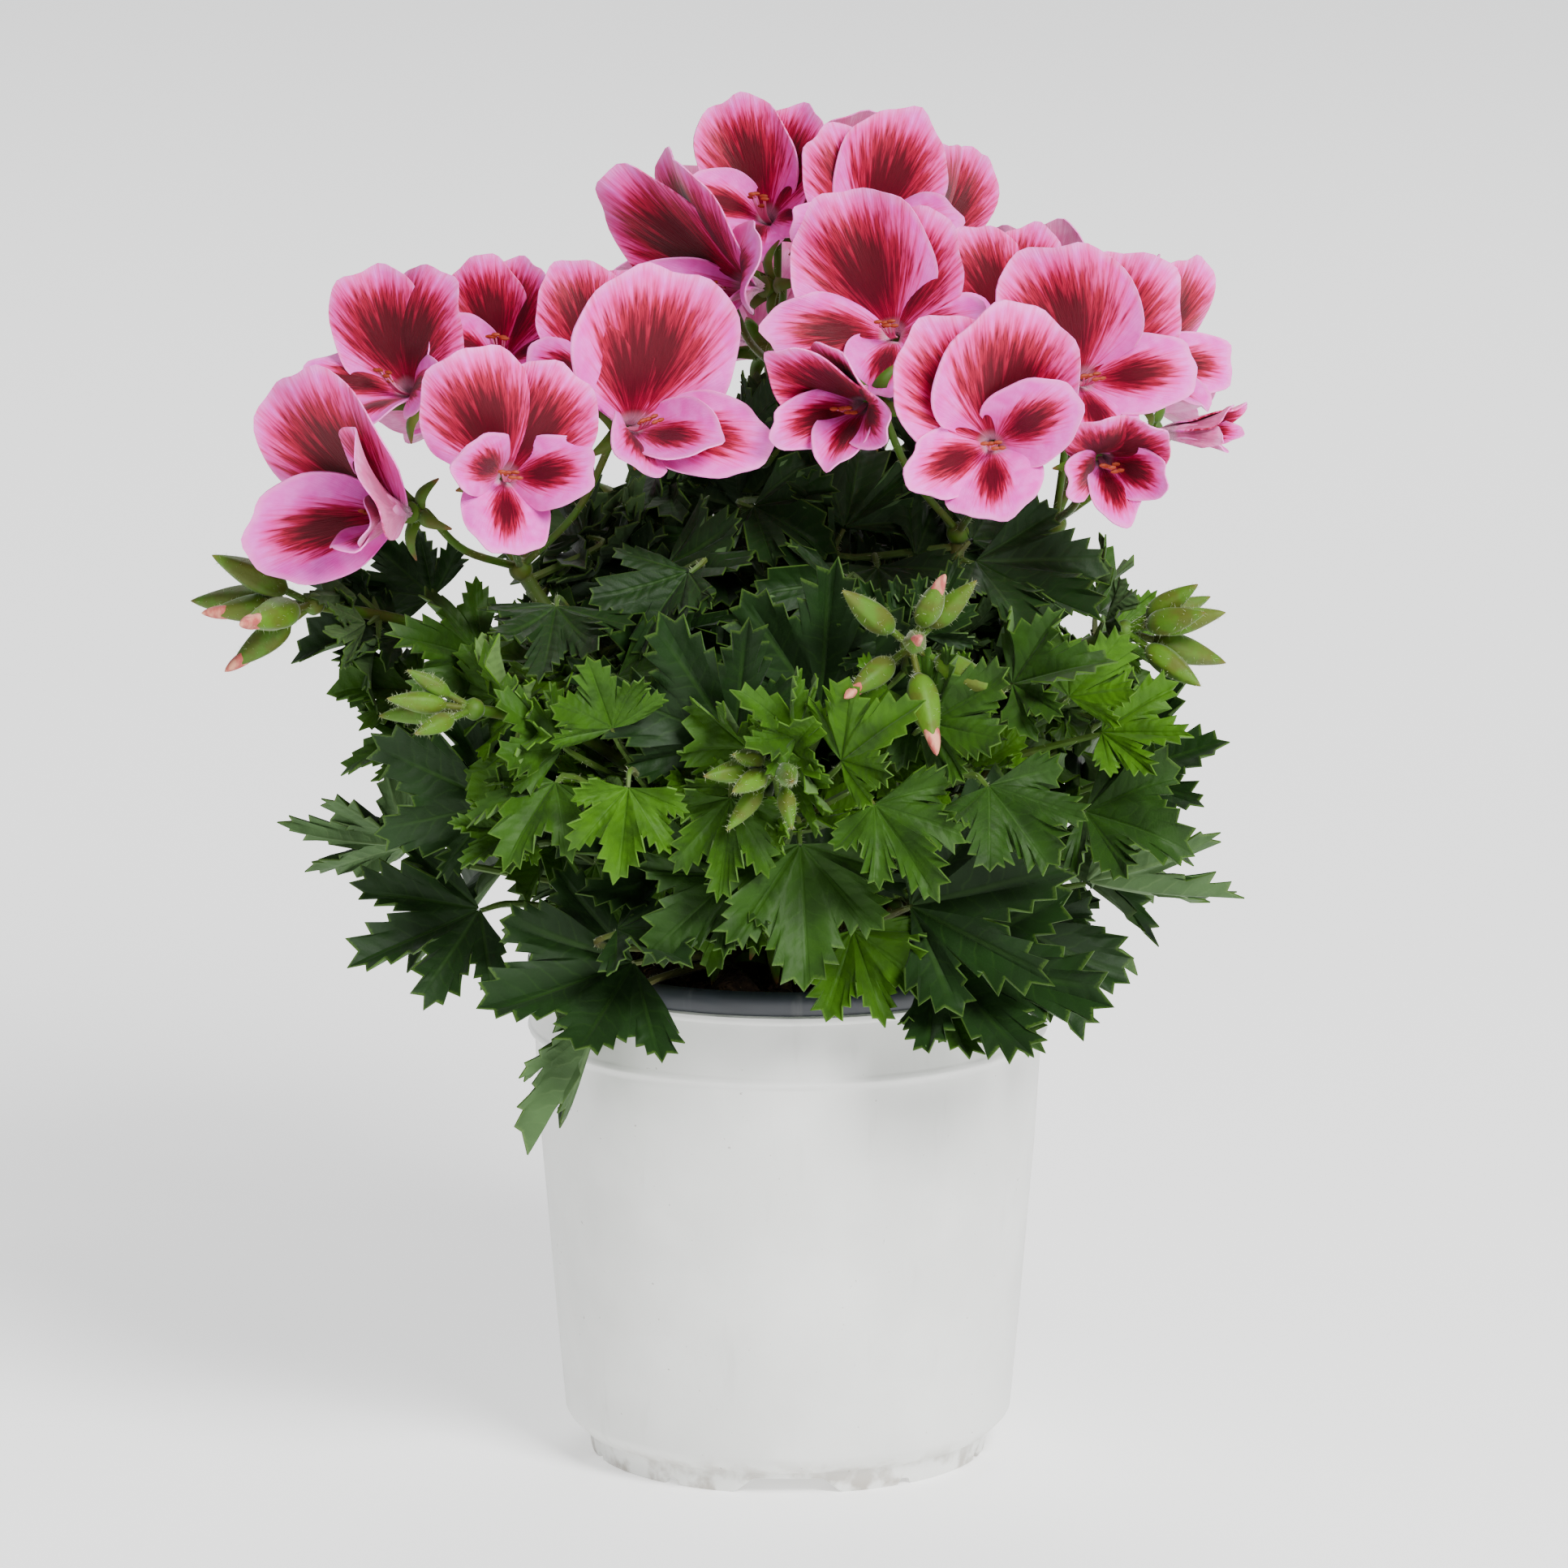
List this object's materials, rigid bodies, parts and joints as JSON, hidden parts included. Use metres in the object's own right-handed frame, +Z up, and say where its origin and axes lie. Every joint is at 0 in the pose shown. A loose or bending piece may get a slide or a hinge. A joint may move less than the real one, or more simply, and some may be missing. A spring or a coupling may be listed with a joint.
{
  "type": "potted regal pelargonium",
  "caption": "Bushy flowering pot plant with toothed green leaves and blotched pink ruffled flowers, in a plain white plastic nursery pot.",
  "frame": {"origin": "centre of the pot's foot, on the surface that the pot stands on", "axes": "+Z up along the pot's axis; -Y is the front, from where the picture looks; +X is to that viewer's right"},
  "size_m": [0.2582, 0.2272, 0.3402],
  "materials": {
    "pot_plastic": "white thermoformed plastic with a soft gloss, charcoal at the rolled lip and inside",
    "compost": "dark brown crumbly peat compost with pale fibres",
    "foliage": "soft hairy leaf, satin above and matte below",
    "petal": "satin petal, mauve pink with a dark crimson feathered blotch and a pale throat"
  },
  "bodies": {
    "root": {"compost": "compost", "leafy_stem_back_left": "foliage", "leafy_stem_back_right": "foliage", "leafy_stem_centre": "foliage", "leafy_stem_front": "foliage", "leafy_stem_front_left": "foliage", "leafy_stem_front_right": "foliage", "leafy_stem_left": "foliage", "leafy_stem_left_back": "foliage", "leafy_stem_left_front": "foliage", "leafy_stem_right": "foliage", "leafy_stem_right_back": "foliage", "leafy_stem_right_front": "foliage", "petals_back_left": "petal", "petals_back_low": "petal", "petals_back_right": "petal", "petals_left_back": "petal", "petals_left_front": "petal", "petals_left_inner": "petal", "petals_left_outer": "petal", "petals_left_peak": "petal", "petals_left_rear": "petal", "petals_left_top": "petal", "petals_right_back": "petal", "petals_right_bud": "petal", "petals_right_cup": "petal", "petals_right_front": "petal", "petals_right_inner": "petal", "petals_right_outer": "petal", "petals_right_peak": "petal", "petals_right_side": "petal", "petals_right_upper": "petal", "petals_top_far": "petal", "petals_top_left": "petal", "petals_top_peak": "petal", "petals_top_rear": "petal", "petals_top_right": "petal", "petals_top_side": "petal", "pot": "pot_plastic"}
  },
  "joints": []
}
